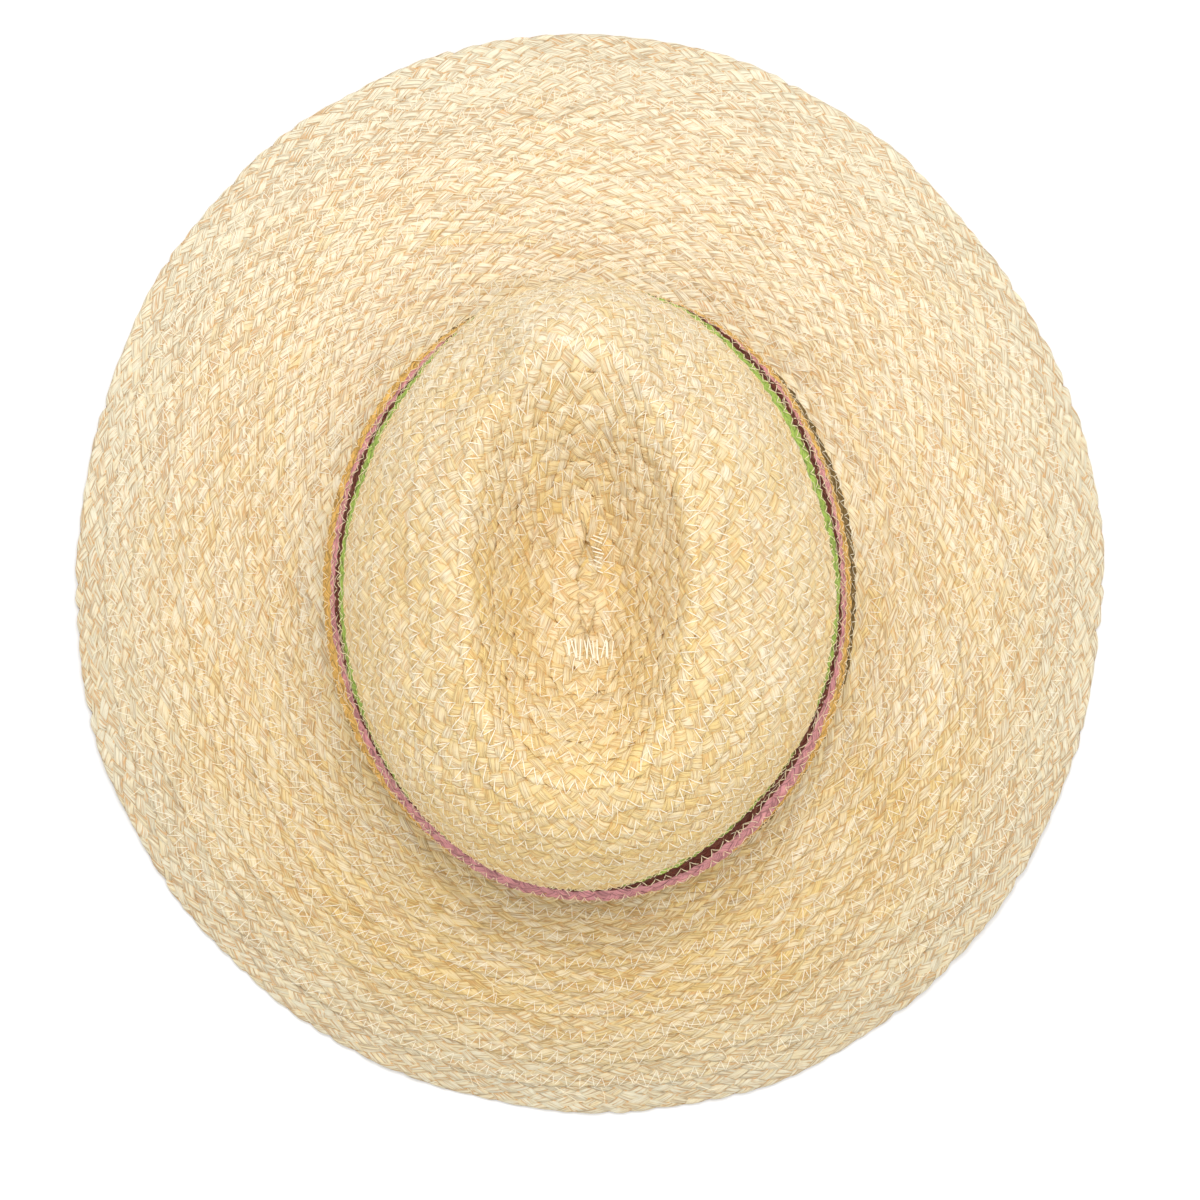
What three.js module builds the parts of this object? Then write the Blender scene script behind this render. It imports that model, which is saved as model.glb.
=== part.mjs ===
// A sewn straw fedora: a teardrop crown, five dyed turns of plait at its foot, and a round brim.
// The crown is three pieces: the wall over the dyed turns, the shoulder above it, which has the front
// pinches and ends at the ridge, and the dented tip inside the ridge.
// Millimetres, +Z up. The hat rests on its brim edge at z = 0, its front towards -Y, and the
// origin is under the middle of the brim. Every wall is a thin shell: an outer face and an inner
// face one wall thickness behind it, closed along its edges.

import * as THREE from "three";

// Walls, and the gap left between neighbouring pieces
const WALL = 2.5;
const EDGE_WALL = 2.0;
const JOIN_GAP = 0.3;

// Where the crown stands: the height of its foot, and how far its middle is behind the brim's
const CROWN_FOOT = 16.0;
const FOOT_MIDDLE_Y = 5.3;

// Crown sections, from the foot to the middle of the tip, one value a section in each column. Each
// is an oval: its half width, how far it reaches to the front and the back, how square it is at the
// front and the back (2 is an ellipse), how far it leans to the wearer's left, and its height over
// the foot at the front, the sides and the back. The ridge is the sixth, and the dent comes after.
const CROWN_SECTIONS = {
  half: [87.2, 83.4, 78.8, 68.2, 52.0, 35.5, 24.0, 12.5, 2.5],
  front: [99.4, 99.2, 98.2, 95.8, 89.5, 76.5, 56.0, 37.0, 23.0],
  back: [101.5, 100.8, 96.2, 88.4, 77.4, 61.0, 46.0, 33.0, 20.5],
  squareFront: [2.0, 2.0, 2.05, 2.2, 2.45, 2.75, 2.35, 2.1, 2.0],
  squareBack: [2.0, 2.1, 2.2, 2.25, 2.3, 2.4, 2.2, 2.1, 2.0],
  lean: [0.0, 0.4, 0.9, 2.0, 3.0, 3.5, 3.2, 2.2, 1.2],
  heightFront: [0.0, 21.5, 43.0, 70.0, 95.0, 108.5, 98.5, 79.5, 69.5],
  heightSide: [0.0, 21.5, 43.0, 69.0, 91.5, 103.5, 86.0, 70.0, 66.5],
  heightBack: [0.0, 21.5, 43.0, 68.0, 87.0, 97.0, 88.5, 78.0, 71.0],
};
const SHOULDER_SECTION = 3;
const RIDGE_SECTION = 5;
const TIP_SECTION = CROWN_SECTIONS.half.length - 1;

// The two pinches at the front of the crown: turn from the side, how deep, and how far they spread
const PINCH_TURN = THREE.MathUtils.degToRad(54);
const PINCH_DEPTH = 11.0;
const PINCH_SECTION = 3.9;
const PINCH_SPREAD_TURN = THREE.MathUtils.degToRad(13);
const PINCH_SPREAD_SECTIONS = 0.8;

// Dyed turns of plait, from the top one down. They share the crown's lowest two sections.
const DYED_TURNS = [
  { name: "row_green", color: 0x7cb342 },
  { name: "row_maroon", color: 0x5a2c24 },
  { name: "row_pink", color: 0xc9808a },
  { name: "row_mustard", color: 0xd9a04a },
  { name: "row_olive", color: 0x4d4030 },
];
const DYED_SECTIONS = 2;
const SECTION_RISE = CROWN_SECTIONS.heightSide[1];
const HALF_GAP_SECTIONS = JOIN_GAP / 2 / SECTION_RISE;

// Brim outline: a mean radius and its waves, each with a count round the edge and two sizes
const BRIM_RADIUS = 173.5;
const BRIM_WAVES = [
  { count: 1, cosine: 0.35, sine: 0.86 },
  { count: 2, cosine: -4.42, sine: -1.2 },
  { count: 3, cosine: -0.24, sine: 0.69 },
  { count: 4, cosine: 0.08, sine: 0.59 },
  { count: 5, cosine: -0.39, sine: -0.05 },
  { count: 6, cosine: 0.1, sine: 0.28 },
];

// Brim profile from the bend at the crown's foot out to the edge: the share of the brim's width,
// and the height of its upper face. The height at the edge is the edge's own thickness.
const BRIM_PROFILE = {
  share: [0.016, 0.055, 0.16, 0.36, 0.58, 0.8, 0.96, 1.0],
  height: [13.9, 12.9, 12.0, 10.2, 7.9, 4.9, 2.3, EDGE_WALL],
};
const BRIM_EDGE = BRIM_PROFILE.share.length - 1;

// The brim's slow waves: it lifts a little off the table between the places where it touches
const LIFT_WAVES = [
  { count: 3, size: 1.7, turn: THREE.MathUtils.degToRad(25) },
  { count: 5, size: 0.8, turn: THREE.MathUtils.degToRad(100) },
];
const LIFT_START = 0.35;

// Facets, and the small step that slopes are measured over
const STEPS_ROUND = 72;
const STEPS_PER_SECTION = 3;
const SLOPE_STEP = 1e-3;

// Straw finish
const STRAW = { color: 0xead2a0, roughness: 0.78, metalness: 0 };
const DYED_ROUGHNESS = 0.8;

// A smooth curve through evenly spaced values, read at a place counted in values.
function smoothThrough(values, place) {
  const last = values.length - 1;
  const i = THREE.MathUtils.clamp(Math.floor(place), 0, last - 1);
  const f = place - i;
  const before = i > 0 ? values[i - 1] : 2 * values[0] - values[1];
  const after = i + 2 <= last ? values[i + 2] : 2 * values[last] - values[last - 1];
  const start = (values[i + 1] - before) / 2;
  const end = (after - values[i]) / 2;
  const rise = values[i + 1] - values[i];
  return values[i] + f * (start + f * (3 * rise - 2 * start - end + f * (start + end - 2 * rise)));
}

// How far the front pinches push the wall in, at a turn and a section.
function pinchAt(turn, section) {
  const fromPinch = Math.atan2(Math.sin(turn), Math.abs(Math.cos(turn))) + PINCH_TURN;
  const aside = fromPinch / PINCH_SPREAD_TURN;
  const along = (section - PINCH_SECTION) / PINCH_SPREAD_SECTIONS;
  return PINCH_DEPTH * Math.exp(-(aside * aside + along * along) / 2);
}

// The crown's outer face. The turn runs evenly round the section's ellipse, and the point is where
// a ray through that ellipse point meets the squarish oval of the same width and reach.
function crownPoint(turn, section) {
  const column = (name) => smoothThrough(CROWN_SECTIONS[name], section);
  const sin = Math.sin(turn);
  const front = sin < 0;
  const half = column("half");
  const reach = column(front ? "front" : "back");
  const power = column(front ? "squareFront" : "squareBack");
  const ray = Math.atan2(reach * sin, half * Math.cos(turn));
  const across = Math.pow(Math.abs(Math.cos(ray)) / half, power);
  const along = Math.pow(Math.abs(Math.sin(ray)) / reach, power);
  const radius = Math.pow(across + along, -1 / power) - pinchAt(turn, section);
  const side = column("heightSide");
  const end = column(front ? "heightFront" : "heightBack");
  return new THREE.Vector3(
    column("lean") + radius * Math.cos(ray),
    FOOT_MIDDLE_Y + radius * Math.sin(ray),
    CROWN_FOOT + side + (end - side) * sin * sin,
  );
}

function outlinePoint(turn) {
  const waveAt = (wave) =>
    wave.cosine * Math.cos(wave.count * turn) + wave.sine * Math.sin(wave.count * turn);
  const radius = BRIM_WAVES.reduce((sum, wave) => sum + waveAt(wave), BRIM_RADIUS);
  return new THREE.Vector2(radius * Math.cos(turn), radius * Math.sin(turn));
}

// A point for each step round the hat.
function ringOf(pointAt) {
  return Array.from({ length: STEPS_ROUND }, (_, i) => pointAt((2 * Math.PI * i) / STEPS_ROUND));
}

// The middle of the brim outline's box, which becomes the origin.
const BRIM_MIDDLE = new THREE.Box2()
  .setFromPoints(ringOf(outlinePoint))
  .getCenter(new THREE.Vector2());

// How high the brim's edge stands off the table at a turn: nothing where it touches.
function liftAt(turn) {
  const waveAt = (wave) => wave.size * Math.sin(wave.count * turn + wave.turn);
  return Math.max(0, LIFT_WAVES.reduce((sum, wave) => sum + waveAt(wave), 0));
}

// The brim's upper face: a straight line from the crown's foot to the outline, bent by the profile.
// The place is counted in values of the profile.
function brimPoint(turn, place) {
  const foot = crownPoint(turn, 0);
  const edge = outlinePoint(turn).sub(BRIM_MIDDLE);
  const share = smoothThrough(BRIM_PROFILE.share, place);
  const lift = liftAt(turn) * THREE.MathUtils.smoothstep(share, LIFT_START, 1);
  return new THREE.Vector3(
    THREE.MathUtils.lerp(foot.x, edge.x, share),
    THREE.MathUtils.lerp(foot.y, edge.y, share),
    smoothThrough(BRIM_PROFILE.height, place) + lift,
  );
}

// A face moved in by the wall thickness, square to the face.
function innerPoint(pointAt, turn, place) {
  const round = pointAt(turn + SLOPE_STEP, place).sub(pointAt(turn - SLOPE_STEP, place));
  const up = pointAt(turn, place + SLOPE_STEP).sub(pointAt(turn, place - SLOPE_STEP));
  const outward = round.cross(up).normalize();
  return pointAt(turn, place).addScaledVector(outward, -WALL);
}

// The brim's under face: one wall below the upper face, but never below the edge's foot.
function brimUnder(turn, place) {
  const edge = brimPoint(turn, BRIM_EDGE);
  const foot = edge.z - EDGE_WALL;
  if (place === BRIM_EDGE) {
    return edge.setZ(foot);
  }
  const countedIn = (t, fromEdge) => brimPoint(t, BRIM_EDGE - fromEdge);
  const point = innerPoint(countedIn, turn, BRIM_EDGE - place);
  return point.setZ(Math.max(point.z, foot));
}

// The index of the triangles between two neighbouring rings of points.
function bandIndex(from, to) {
  return Array.from({ length: STEPS_ROUND }, (_, i) => {
    const j = (i + 1) % STEPS_ROUND;
    return [from + i, from + j, to + j, from + i, to + j, to + i];
  }).flat();
}

function geometryOf(points, index) {
  const geometry = new THREE.BufferGeometry().setFromPoints(points);
  geometry.setIndex(index);
  geometry.computeVertexNormals();
  return geometry;
}

// Joins rings that follow each other round a wall, the last meeting the first again.
function closedRing(rings) {
  const index = rings.flatMap((_, r) =>
    bandIndex(r * STEPS_ROUND, ((r + 1) % rings.length) * STEPS_ROUND),
  );
  return geometryOf(rings.flat(), index);
}

function middleOf(ring) {
  return ring.reduce((sum, p) => sum.add(p), new THREE.Vector3()).divideScalar(STEPS_ROUND);
}

// Joins rings that start at the middle of the inner face and end at the middle of the outer one.
function closedDome(outer, inner) {
  const rings = [...inner.toReversed(), ...outer];
  const points = [...rings.flat(), middleOf(inner.at(-1)), middleOf(outer.at(-1))];
  const innerMiddle = rings.length * STEPS_ROUND;
  const lastRing = innerMiddle - STEPS_ROUND;
  const index = rings.slice(1).flatMap((_, r) => bandIndex(r * STEPS_ROUND, (r + 1) * STEPS_ROUND));
  for (let i = 0; i < STEPS_ROUND; i += 1) {
    const j = (i + 1) % STEPS_ROUND;
    index.push(innerMiddle, j, i);
    index.push(innerMiddle + 1, lastRing + i, lastRing + j);
  }
  return geometryOf(points, index);
}

// The outer and inner rings of a stretch of the crown's wall between two joins, in even steps, with
// half a gap left free at the lower join and at the upper one.
function wallRings(low, high, steps, gapAbove = HALF_GAP_SECTIONS) {
  const start = low + HALF_GAP_SECTIONS;
  const step = (high - gapAbove - start) / steps;
  const places = Array.from({ length: steps + 1 }, (_, k) => start + step * k);
  return {
    outer: places.map((place) => ringOf((turn) => crownPoint(turn, place))),
    inner: places.map((place) => ringOf((turn) => innerPoint(crownPoint, turn, place))),
  };
}

function meshOf(name, geometry, finish) {
  const mesh = new THREE.Mesh(geometry, new THREE.MeshStandardMaterial(finish));
  mesh.name = name;
  return mesh;
}

// A natural straw ring of the crown's side, between two sections.
function makeSideRing(name, low, high) {
  const { outer, inner } = wallRings(low, high, (high - low) * STEPS_PER_SECTION);
  return meshOf(name, closedRing([...outer, ...inner.reverse()]), STRAW);
}

// The dented tip, from the ridge down to the floor of the dent.
function makeCrownTip() {
  const steps = (TIP_SECTION - RIDGE_SECTION) * STEPS_PER_SECTION;
  const { outer, inner } = wallRings(RIDGE_SECTION, TIP_SECTION, steps, 0);
  return meshOf("crown_tip", closedDome(outer, inner), STRAW);
}

// One dyed turn: a short stretch of the same wall.
function makeDyedTurn(turn, place) {
  const depth = DYED_SECTIONS / DYED_TURNS.length;
  const top = DYED_SECTIONS - place * depth;
  const { outer, inner } = wallRings(top - depth, top, 1);
  const finish = { color: turn.color, roughness: DYED_ROUGHNESS, metalness: 0 };
  return meshOf(turn.name, closedRing([...outer, ...inner.reverse()]), finish);
}

// The brim: a collar under the lowest dyed turn, then its upper face out to the edge, and its under
// face back in, flat where it rests.
function makeBrim() {
  const places = BRIM_PROFILE.share.keys().toArray();
  const upper = [
    ringOf((turn) => crownPoint(turn, -HALF_GAP_SECTIONS)),
    ...places.map((place) => ringOf((turn) => brimPoint(turn, place))),
  ];
  const lower = [
    ringOf((turn) => innerPoint(crownPoint, turn, -HALF_GAP_SECTIONS)),
    ...places.map((place) => ringOf((turn) => brimUnder(turn, place))),
  ];
  return meshOf("brim", closedRing([...lower, ...upper.reverse()]), STRAW);
}

const hat = new THREE.Group();
hat.add(makeCrownTip());
hat.add(makeSideRing("crown_shoulder", SHOULDER_SECTION, RIDGE_SECTION));
hat.add(makeSideRing("crown_wall", DYED_SECTIONS, SHOULDER_SECTION));
hat.add(...DYED_TURNS.map(makeDyedTurn));
hat.add(makeBrim());

export default hat;
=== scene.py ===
"""Straw fedora: every turn of plait, its sewing thread, and a plain stage.

The hat's wall is one surface, given by a turn round the hat and a row counted along a line from the
middle of the tip to the brim's edge. Each turn of plait is a band of woven ribbons laid on that
surface, one row deep, lapping over the next. All shapes are worked out in millimetres.
"""

import bpy
import numpy as np
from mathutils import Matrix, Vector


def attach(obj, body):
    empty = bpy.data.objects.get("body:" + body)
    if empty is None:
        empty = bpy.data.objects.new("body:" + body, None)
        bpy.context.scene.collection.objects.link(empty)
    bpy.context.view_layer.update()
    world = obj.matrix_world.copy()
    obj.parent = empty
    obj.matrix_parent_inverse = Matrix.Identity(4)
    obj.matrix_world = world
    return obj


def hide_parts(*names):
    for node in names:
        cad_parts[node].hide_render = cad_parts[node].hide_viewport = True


bl_info = {
    "name": "Straw fedora",
    "version": (1, 0, 0),
    "blender": (4, 5, 0),
    "location": "View3D > Sidebar > Fedora",
    "description": "Builds the plait, stitching and stage of a sewn straw fedora",
    "category": "Object",
}

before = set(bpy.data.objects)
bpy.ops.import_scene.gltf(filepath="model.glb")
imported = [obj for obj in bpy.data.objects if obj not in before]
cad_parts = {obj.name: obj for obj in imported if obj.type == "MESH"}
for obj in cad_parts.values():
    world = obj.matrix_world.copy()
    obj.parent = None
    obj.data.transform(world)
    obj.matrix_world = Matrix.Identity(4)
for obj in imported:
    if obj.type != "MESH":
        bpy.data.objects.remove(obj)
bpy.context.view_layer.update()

MM = 0.001
TAU = 2 * np.pi

# The crown's sections from the foot to the tip: half width, reach to the front and the back, how
# square the front and the back are, lean, and height at the front, the sides and the back
SECTIONS = {
    "half": [87.2, 83.4, 78.8, 68.2, 52.0, 35.5, 24.0, 12.5, 2.5],
    "front": [99.4, 99.2, 98.2, 95.8, 89.5, 76.5, 56.0, 37.0, 23.0],
    "back": [101.5, 100.8, 96.2, 88.4, 77.4, 61.0, 46.0, 33.0, 20.5],
    "square_front": [2.0, 2.0, 2.05, 2.2, 2.45, 2.75, 2.35, 2.1, 2.0],
    "square_back": [2.0, 2.1, 2.2, 2.25, 2.3, 2.4, 2.2, 2.1, 2.0],
    "lean": [0.0, 0.4, 0.9, 2.0, 3.0, 3.5, 3.2, 2.2, 1.2],
    "height_front": [0.0, 21.5, 43.0, 70.0, 95.0, 108.5, 98.5, 79.5, 69.5],
    "height_side": [0.0, 21.5, 43.0, 69.0, 91.5, 103.5, 86.0, 70.0, 66.5],
    "height_back": [0.0, 21.5, 43.0, 68.0, 87.0, 97.0, 88.5, 78.0, 71.0],
}
LEAST_HALF = 0.05
CROWN_FOOT = 16.0
FOOT_MIDDLE_Y = 5.3

# The pinch either side of the front: its turn, depth and section, and its spread over both
PINCH_TURN, PINCH_DEPTH, PINCH_SECTION = np.radians(54), 11.0, 3.9
PINCH_SPREAD_TURN, PINCH_SPREAD_SECTIONS = np.radians(13), 0.8

# The brim: mean radius, its waves as count, cosine and sine, its profile from foot to edge, the waves
# that lift its edge as count, height and start, the share where they come in, and its facets
BRIM_RADIUS = 173.5
BRIM_WAVES = [
    (1, 0.35, 0.86), (2, -4.42, -1.2), (3, -0.24, 0.69),
    (4, 0.08, 0.59), (5, -0.39, -0.05), (6, 0.1, 0.28),
]
BRIM_SHARE = [0.016, 0.055, 0.16, 0.36, 0.58, 0.8, 0.96, 1.0]
BRIM_HEIGHT = [13.9, 12.9, 12.0, 10.2, 7.9, 4.9, 2.3, 2.0]
LIFT_WAVES = [(3, 1.7, np.radians(25)), (5, 0.8, np.radians(100))]
LIFT_START = 0.35
BRIM_FACETS = 72

# Sections where the natural and the dyed turns begin and end, from the middle of the tip outwards
TIP_START, RIDGE, DYED_TOP, DYED_FOOT = 8.24, 5.0, 2.0, 0.0
TIP_ROWS, SIDE_ROWS, DYED_ROWS, BRIM_ROWS = 6, 7, 5, 9
RIDGE_ROW = TIP_ROWS
DYED_ROW = RIDGE_ROW + SIDE_ROWS
BRIM_ROW = DYED_ROW + DYED_ROWS
EDGE_ROW = BRIM_ROW + BRIM_ROWS

# How wide each dyed turn looks from the view height above the brim, at sixteen even turns from the
# wearer's left round by the back. A turn with a width below nothing is tucked back out of sight. The
# push that does this eases in over some natural turns, and ends just past the dyed turns' foot.
BAND_WIDTHS = {
    "row_green": [1.6, 1.1, -0.3, -0.4, -0.4, 0.2, 0.3, 0.1, 1.2, 2.6, 1.9, 0.0, -0.5, -0.5, 0.7, 1.8],
    "row_maroon": [1.0, 0.7, 0.4, 0.1, -0.2, 3.2, 2.0, 1.2, 1.0, 1.8, 1.6, 0.5, -0.3, -0.3, 0.5, 2.0],
    "row_pink": [1.4, 1.6, 2.8, 3.4, 4.0, 2.8, 4.2, 2.4, 1.0, 1.1, 0.7, 0.0, -0.2, -0.2, 1.0, 1.0],
    "row_mustard": [3.2, 3.1, 1.4, -0.3, -0.3, -0.3, 0.8, 2.5, 1.7, 1.2, 1.4, 0.8, 0.0, 0.3, 2.5, 2.7],
    "row_olive": [-1.0] * 8 + [1.4, 1.7, -0.6] + [-1.0] * 5,
}
DYED_NAMES = list(BAND_WIDTHS)
BAND_TURNS = np.arange(16) * TAU / 16
BAND_EASE, BAND_END = 3.0, 0.1
VIEW_HEIGHT = 1600.0

# How far a turn's edge stands past its seam, in rows
LAP_EDGE = 0.15

# How far past the middle of the tip the first turn reaches, in rows, and how much of the crease that
# it would leave there is filled, easing off outwards
CORE_LAP = 0.3
CORE_FILL, CORE_EASE = 0.75, 1.5

# The lip in the dent's wearer's-right wall, along a quarter of an ellipse: its middle, half sizes,
# the turns it runs between, its height, how quickly it rises and fades outwards, and how steeply it
# comes in at both ends
LIP_MIDDLE, LIP_HALF = (2.5, 6.0), (34.0, 52.0)
LIP_FROM, LIP_TO = np.radians(176), np.radians(266)
LIP_HEIGHT, LIP_RISE, LIP_FADE = 2.6, 1.2, 9.0
LIP_EASE = 4

# The two folds beside the front of the ridge: the line midway between them, how far each is from
# it, where they run from front to back, their depth and half width, and the crest inside them
FOLD_MIDDLE, FOLD_ASIDE = 3.0, 25.5
FOLD_FRONT, FOLD_BACK = -92.0, -40.0
FOLD_DEPTH, FOLD_HALF = 5.5, 3.8
CREST_ASIDE, CREST_HEIGHT, CREST_HALF = 18.0, 1.4, 3.6

# The core's close stitches: how many, and the lines that their near and far ends lie along
CORE_TACKS = [
    (14, [((8.0, 20.5), (-8.0, 22.0)), ((7.4, 26.5), (-7.4, 27.5))]),
    (8, [((-0.5, -12.0), (-0.5, -1.0)), ((-4.5, -10.5), (-4.5, 0.5))]),
]

# The grid that the surface is read from, the finer steps across it that are worked out first, and
# where a row's width is read
TURN_STEPS, ROW_STEPS = 720, 24
FINE_STEPS = {"crown": 241, "brim": 281}
WIDTH_TURNS, WIDTH_READ = 36, (0.1, 0.9)
TINY = 1e-9

# How far a seam wanders, in rows, by each of its waves
WANDER, WANDER_WAVES = 0.022, 4

# The slow waves that lift and lower the wall, in millimetres: size, count round the hat, shift for
# each row, and start; and the share of them that the dyed turns have
BILLOWS = [(0.28, 9, 1.3, 0), (0.22, 17, -2.1, 1), (0.18, 31, 3.7, 2)]
CALM = 0.3

# How strongly the turns are tipped at four rows, and the waves in that: size, count, and shift for
# each row
TIPPED = {"row": [0, RIDGE_ROW, DYED_ROW, BRIM_ROW], "share": [0.5, 0.65, 0.8, 0.72]}
TIPPED_WAVES = [(0.26, 5, 2.3), (0.18, 13, -1.7)]

# A plait's ribbons: rows of diamonds across it, the fewest cells round it, and where the face of each
# diamond is cut, with its swell along and across there and the rise of its open edges
CROWN_DIAMONDS, DYED_DIAMONDS, BRIM_DIAMONDS = 5, 5, 8
LEAST_CELLS = 8
CUTS = np.array([0, 0.1, 0.5, 0.9, 1])
UNDER_CUTS = [0, 2, 4]
ALONG_SWELL = np.array([0, 0.55, 1.0, 0.55, 0])
FOLDS = np.array([
    [0, 0.85, 1.0, 0.85, 0],
    [0, 1.0, 0.7, 1.0, 0],
    [0, 1.05, 0.85, 0.6, 0],
    [0, 0.6, 0.85, 1.05, 0],
])
OPEN_EDGE = np.array([0, 0.6, 1.0, 0.6, 0])

# How the plait's edges are made: the share of the outer diamonds' points that stands past the edge,
# and how far they roll down
POINTS_LEFT, POINTS_ROLL = 0.35, 0.7

# How uneven the plait is: how far each corner strays along and across it, in cells, and up or down,
# in millimetres; how much of the straying across is left at a turn's edges, and at the brim's edge;
# how far a ribbon's top strays, and its under face's share of the swell
STRAY_ALONG, STRAY_ACROSS, STRAY_UP = 0.1, 0.11, 0.14
STRAY_AT_EDGE, STRAY_AT_BRIM_EDGE = 0.5, 2.6
STRAY_TOP, UNDER_SWELL = 0.07, 0.6

# The ribbons' tones, as the two shapes of a beta draw, how far a cell strays from its ribbon's, and
# the rim's; and how far apart in the straw's pattern two ribbons may start, along and across
TONES, TONE_STRAY, RIM_TONE = (1.6, 2.4), 0.07, 0.5
STRAND_APART, STRAND_SKEW = 400, 0.37

# What the random draws start from: of the first plait, the first seam, the loose ends and the tacks
PLAIT_SEED, SEW_SEED, ENDS_SEED, TACKS_SEED = 100, 500, 900, 901

# The zigzag: how far its tips stray along it, in steps, and off it, as a share; the lowest and the
# highest that a stroke lies; how far inwards it is set; where each stroke is cut; how far along a step
# its outer tip comes, on the crown and on the brim; its height over the upper turn's edge, the step
# down and the lower turn; and the angles of the three points round a thread
TIP_STRAY, REACH_STRAY, SINK = 0.1, 0.24, (-0.36, 0.06)
SEW_INSET = 0.06
SEW_CUTS = np.array([0, 0.3, 0.5, 0.72])
CROWN_SLANT, BRIM_SLANT = 0.5, 0.14
SEW_HEIGHT = {
    "across": [-0.34, -0.2, -0.05, 0.1, 0.16, 0.26, 0.38],
    "height": [-0.1, 0.2, 0.26, 0.26, 0.3, 0.16, -0.1],
}
RING = np.radians([30, 150, 270])[:, None]

# The loose straw ends: shortest and longest, flattest and steepest slant, lowest and highest arch,
# bend, points along each, and thickness as a share of the thread's; the shares of the hat's area that
# they start between, how near its middle one counts as lying, and how far they stay inside the rows
END_LENGTHS, END_SLANTS, END_ARCHES = (4, 11), (15, 60), (0.1, 0.7)
END_BEND, END_POINTS, END_THIN = 0.3, 6, 0.7
END_AREA, END_NEAREST, END_INSIDE = (0.01, 0.97), 20, (0.1, 0.2)
ROW_WIDTH = 9.0

# The close stitches' unevenness, height over the wall, points along each and thickness
TACK_STRAY, TACK_LIFT, TACK_POINTS, TACK_THICK = 0.5, 0.45, 5, 1.5

# Everything stays this far over the floor
CLEAR_OF_FLOOR = 0.02

NO_FACES = np.empty((0, 3), int)

# The straw's pattern: how its streaks and fibres are stretched along a ribbon, the scale of its slow
# patches, and the front and the back of the hat in metres, between which its colour and its
# lightness drift, the lightness of the brim and of the rest by these shares. The drift is mostly
# painted shade, as if lit from the front: paler and lighter at the front, more golden and darker at
# the back. The crown's lightness share is a near-even darkening of its straw.
STREAK_STRETCH, FIBRE_STRETCH, PATCH_SCALE = (0.06, 0.7, 1), (0.16, 2.6, 1), 24.0
FRONT_Y, BACK_Y, DRIFT_Y = -0.16, 0.16, (-0.17, 0.17)
PALE_DRIFT, DRIFT = (1.06, 0.9), (0.93, 0.95)

# How ripe the crown's straw is, and how strong its veins are
CROWN_RIPE, CROWN_VEINS = 0.26, 0.58

# A thread's darker shade, as shares of red, green and blue, the scale of its unevenness, and roughness
THREAD_SHADE, THREAD_SCALE, THREAD_ROUGH = (0.94, 0.91, 0.84), 900.0, 0.7

# How far in from the brim's edge its paler, greyer turns begin, which are painted reflection of
# the white surroundings on the down-turned edge, and over how many turns they come in
PALE_FROM, PALE_OVER = 4.6, 3.2

# A dyed turn's light, golden and crease shades, the crease one being painted shade in its creases, and
# its shine
DYED_SHADES, DYED_SHINE = (1.15, 0.85, 0.35), 0.15

# The stage, in metres apart from the floor's half width, which is in millimetres
KEY_PLACE, KEY_SIZE = (-0.25, -0.56, 2.45), 1.5
GLINT_PLACE, GLINT_SIZE = (0.15, -0.75, 1.9), 0.1
LIGHT_AIM = (0, 0, 0.05)
FLOOR_HALF = 3000.0
CAMERA_X, CAMERA_Y, BRIM_LEVEL = -0.00333, 0.00867, 0.005

BRIM_PIECES = [("brim_inner_plait", 0, 4), ("brim_middle_plait", 4, 7), ("brim_outer_plait", 7, 9)]


def number(label, about, value, **kind):
    """A number that the user can change."""
    return bpy.props.FloatProperty(name=label, description=about, default=value, **kind)


class PlaitSizes(bpy.types.PropertyGroup):
    """Sizes of the plait, in millimetres."""

    tip_cell: number("Tip cell", "Length of a woven cell on the tip", 6.2)
    side_cell: number("Side cell", "Length of a woven cell on the crown's side", 6.2)
    dyed_cell: number("Dyed cell", "Length of a woven cell on the dyed turns", 6.2)
    brim_cell: number("Brim cell", "Length of a woven cell on the brim", 8.4)
    ribbon_rise: number("Ribbon rise", "How far a ribbon stands over its edges", 0.62)
    thickness: number("Thickness", "Thickness of the plait at a ribbon's edge", 0.6)
    shingle: number("Shingle", "How far a fully tipped turn rises from its inner to its outer edge",
                    0.95)
    lap: number("Lap", "Share of a turn's width that lies on or under its neighbours", 0.44,
                subtype="FACTOR")
    tuck: number("Tuck", "How far a turn is pushed under the one before it, in rows", 0.035,
                 subtype="FACTOR")


class StitchSizes(bpy.types.PropertyGroup):
    """Sizes of the zigzag sewing, in millimetres."""

    thread: number("Thread", "Radius of the sewing thread on the crown", 0.16)
    brim_thread: number("Brim thread", "Radius of the sewing thread on the brim", 0.12)
    crown_step: number("Crown step", "Length of one zigzag on the crown", 4.6)
    brim_step: number("Brim step", "Length of one zigzag on the brim", 4.4)
    reach: number("Reach", "How far the zigzag reaches either side of a seam, in rows", 0.25,
                  subtype="FACTOR")
    loose_ends: bpy.props.IntProperty(
        name="Loose ends", description="How many fine straw ends stand out of the plait", default=900)


def colour(label, about, value):
    """A colour that the user can change, as scene-linear red, green, blue and alpha."""
    return bpy.props.FloatVectorProperty(
        name=label, description=about, default=(*value, 1.0), size=4, subtype="COLOR",
        min=0.0, max=1.0)


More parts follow.
